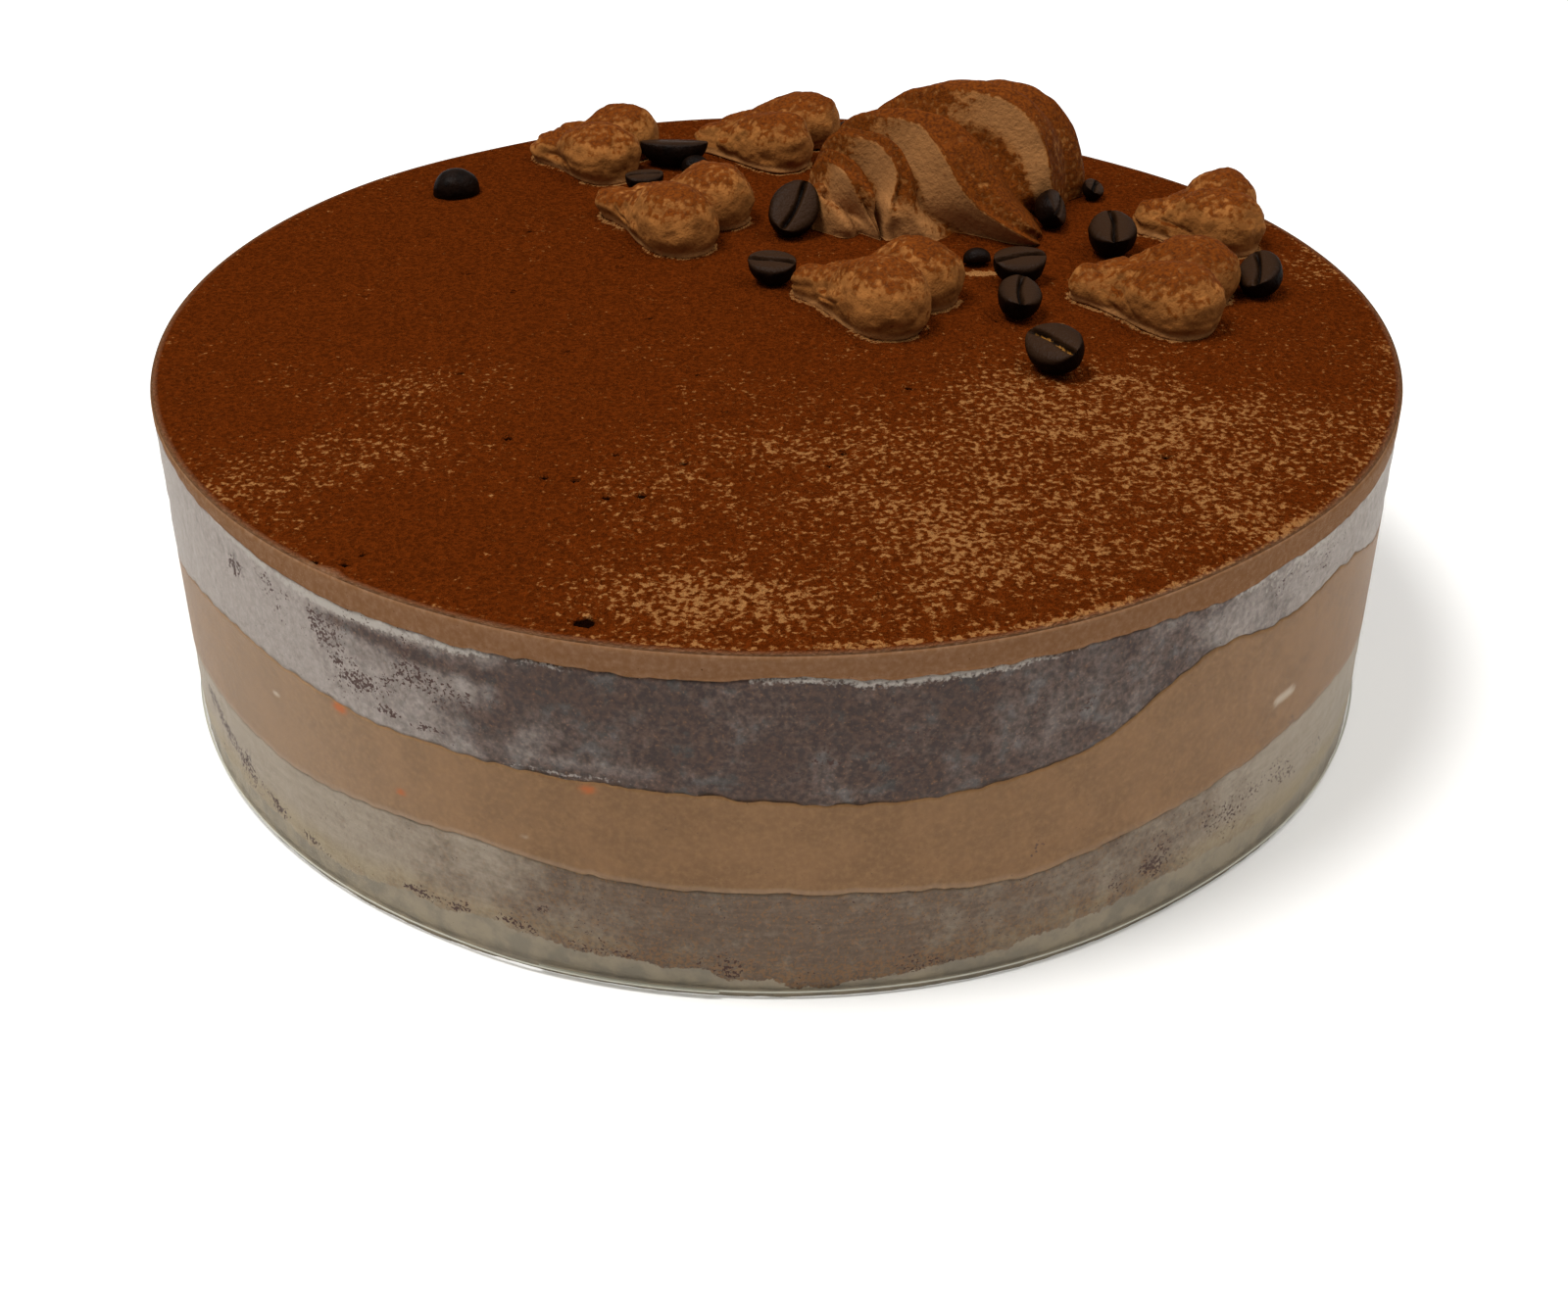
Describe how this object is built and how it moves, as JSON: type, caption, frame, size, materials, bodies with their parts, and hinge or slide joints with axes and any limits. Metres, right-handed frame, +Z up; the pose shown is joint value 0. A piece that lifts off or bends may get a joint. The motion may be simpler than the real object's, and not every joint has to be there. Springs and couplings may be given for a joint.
{
  "type": "mocha cake",
  "caption": "Round uncut mocha mousse cake in a clear film collar, its cocoa-dusted top set with piped cream hearts, a large swirl and roasted beans.",
  "frame": {"origin": "middle of the cake's foot, on the surface it stands on", "axes": "+Z up, -Y towards the viewer of the picture, with the big swirl towards +X"},
  "size_m": [0.203, 0.2032, 0.0802],
  "materials": {
    "sponge": "moist cocoa sponge crumb behind film",
    "mousse": "smooth set coffee mousse",
    "dusted_top": "matt sieved cocoa powder over mousse",
    "cream": "piped coffee cream with cocoa dust",
    "film": "clear glossy cake film",
    "bean": "dark roast, satin"
  },
  "bodies": {
    "root": {"base_sponge": "sponge", "middle_mousse": "mousse", "upper_sponge": "sponge", "top_mousse": "dusted_top", "film_collar": "film", "cream_swirl": "cream", "cream_heart_1": "cream", "cream_heart_2": "cream", "cream_heart_3": "cream", "cream_heart_4": "cream", "cream_heart_5": "cream", "cream_heart_6": "cream", "coffee_bean_1": "bean", "coffee_bean_2": "bean", "coffee_bean_3": "bean", "coffee_bean_4": "bean", "coffee_bean_5": "bean", "coffee_bean_6": "bean", "coffee_bean_7": "bean", "coffee_bean_8": "bean", "coffee_bean_9": "bean", "coffee_bean_10": "bean", "coffee_bean_11": "bean", "coffee_bean_12": "bean", "coffee_bean_13": "bean", "coffee_bean_14": "bean", "coffee_bean_15": "bean"}
  },
  "joints": []
}
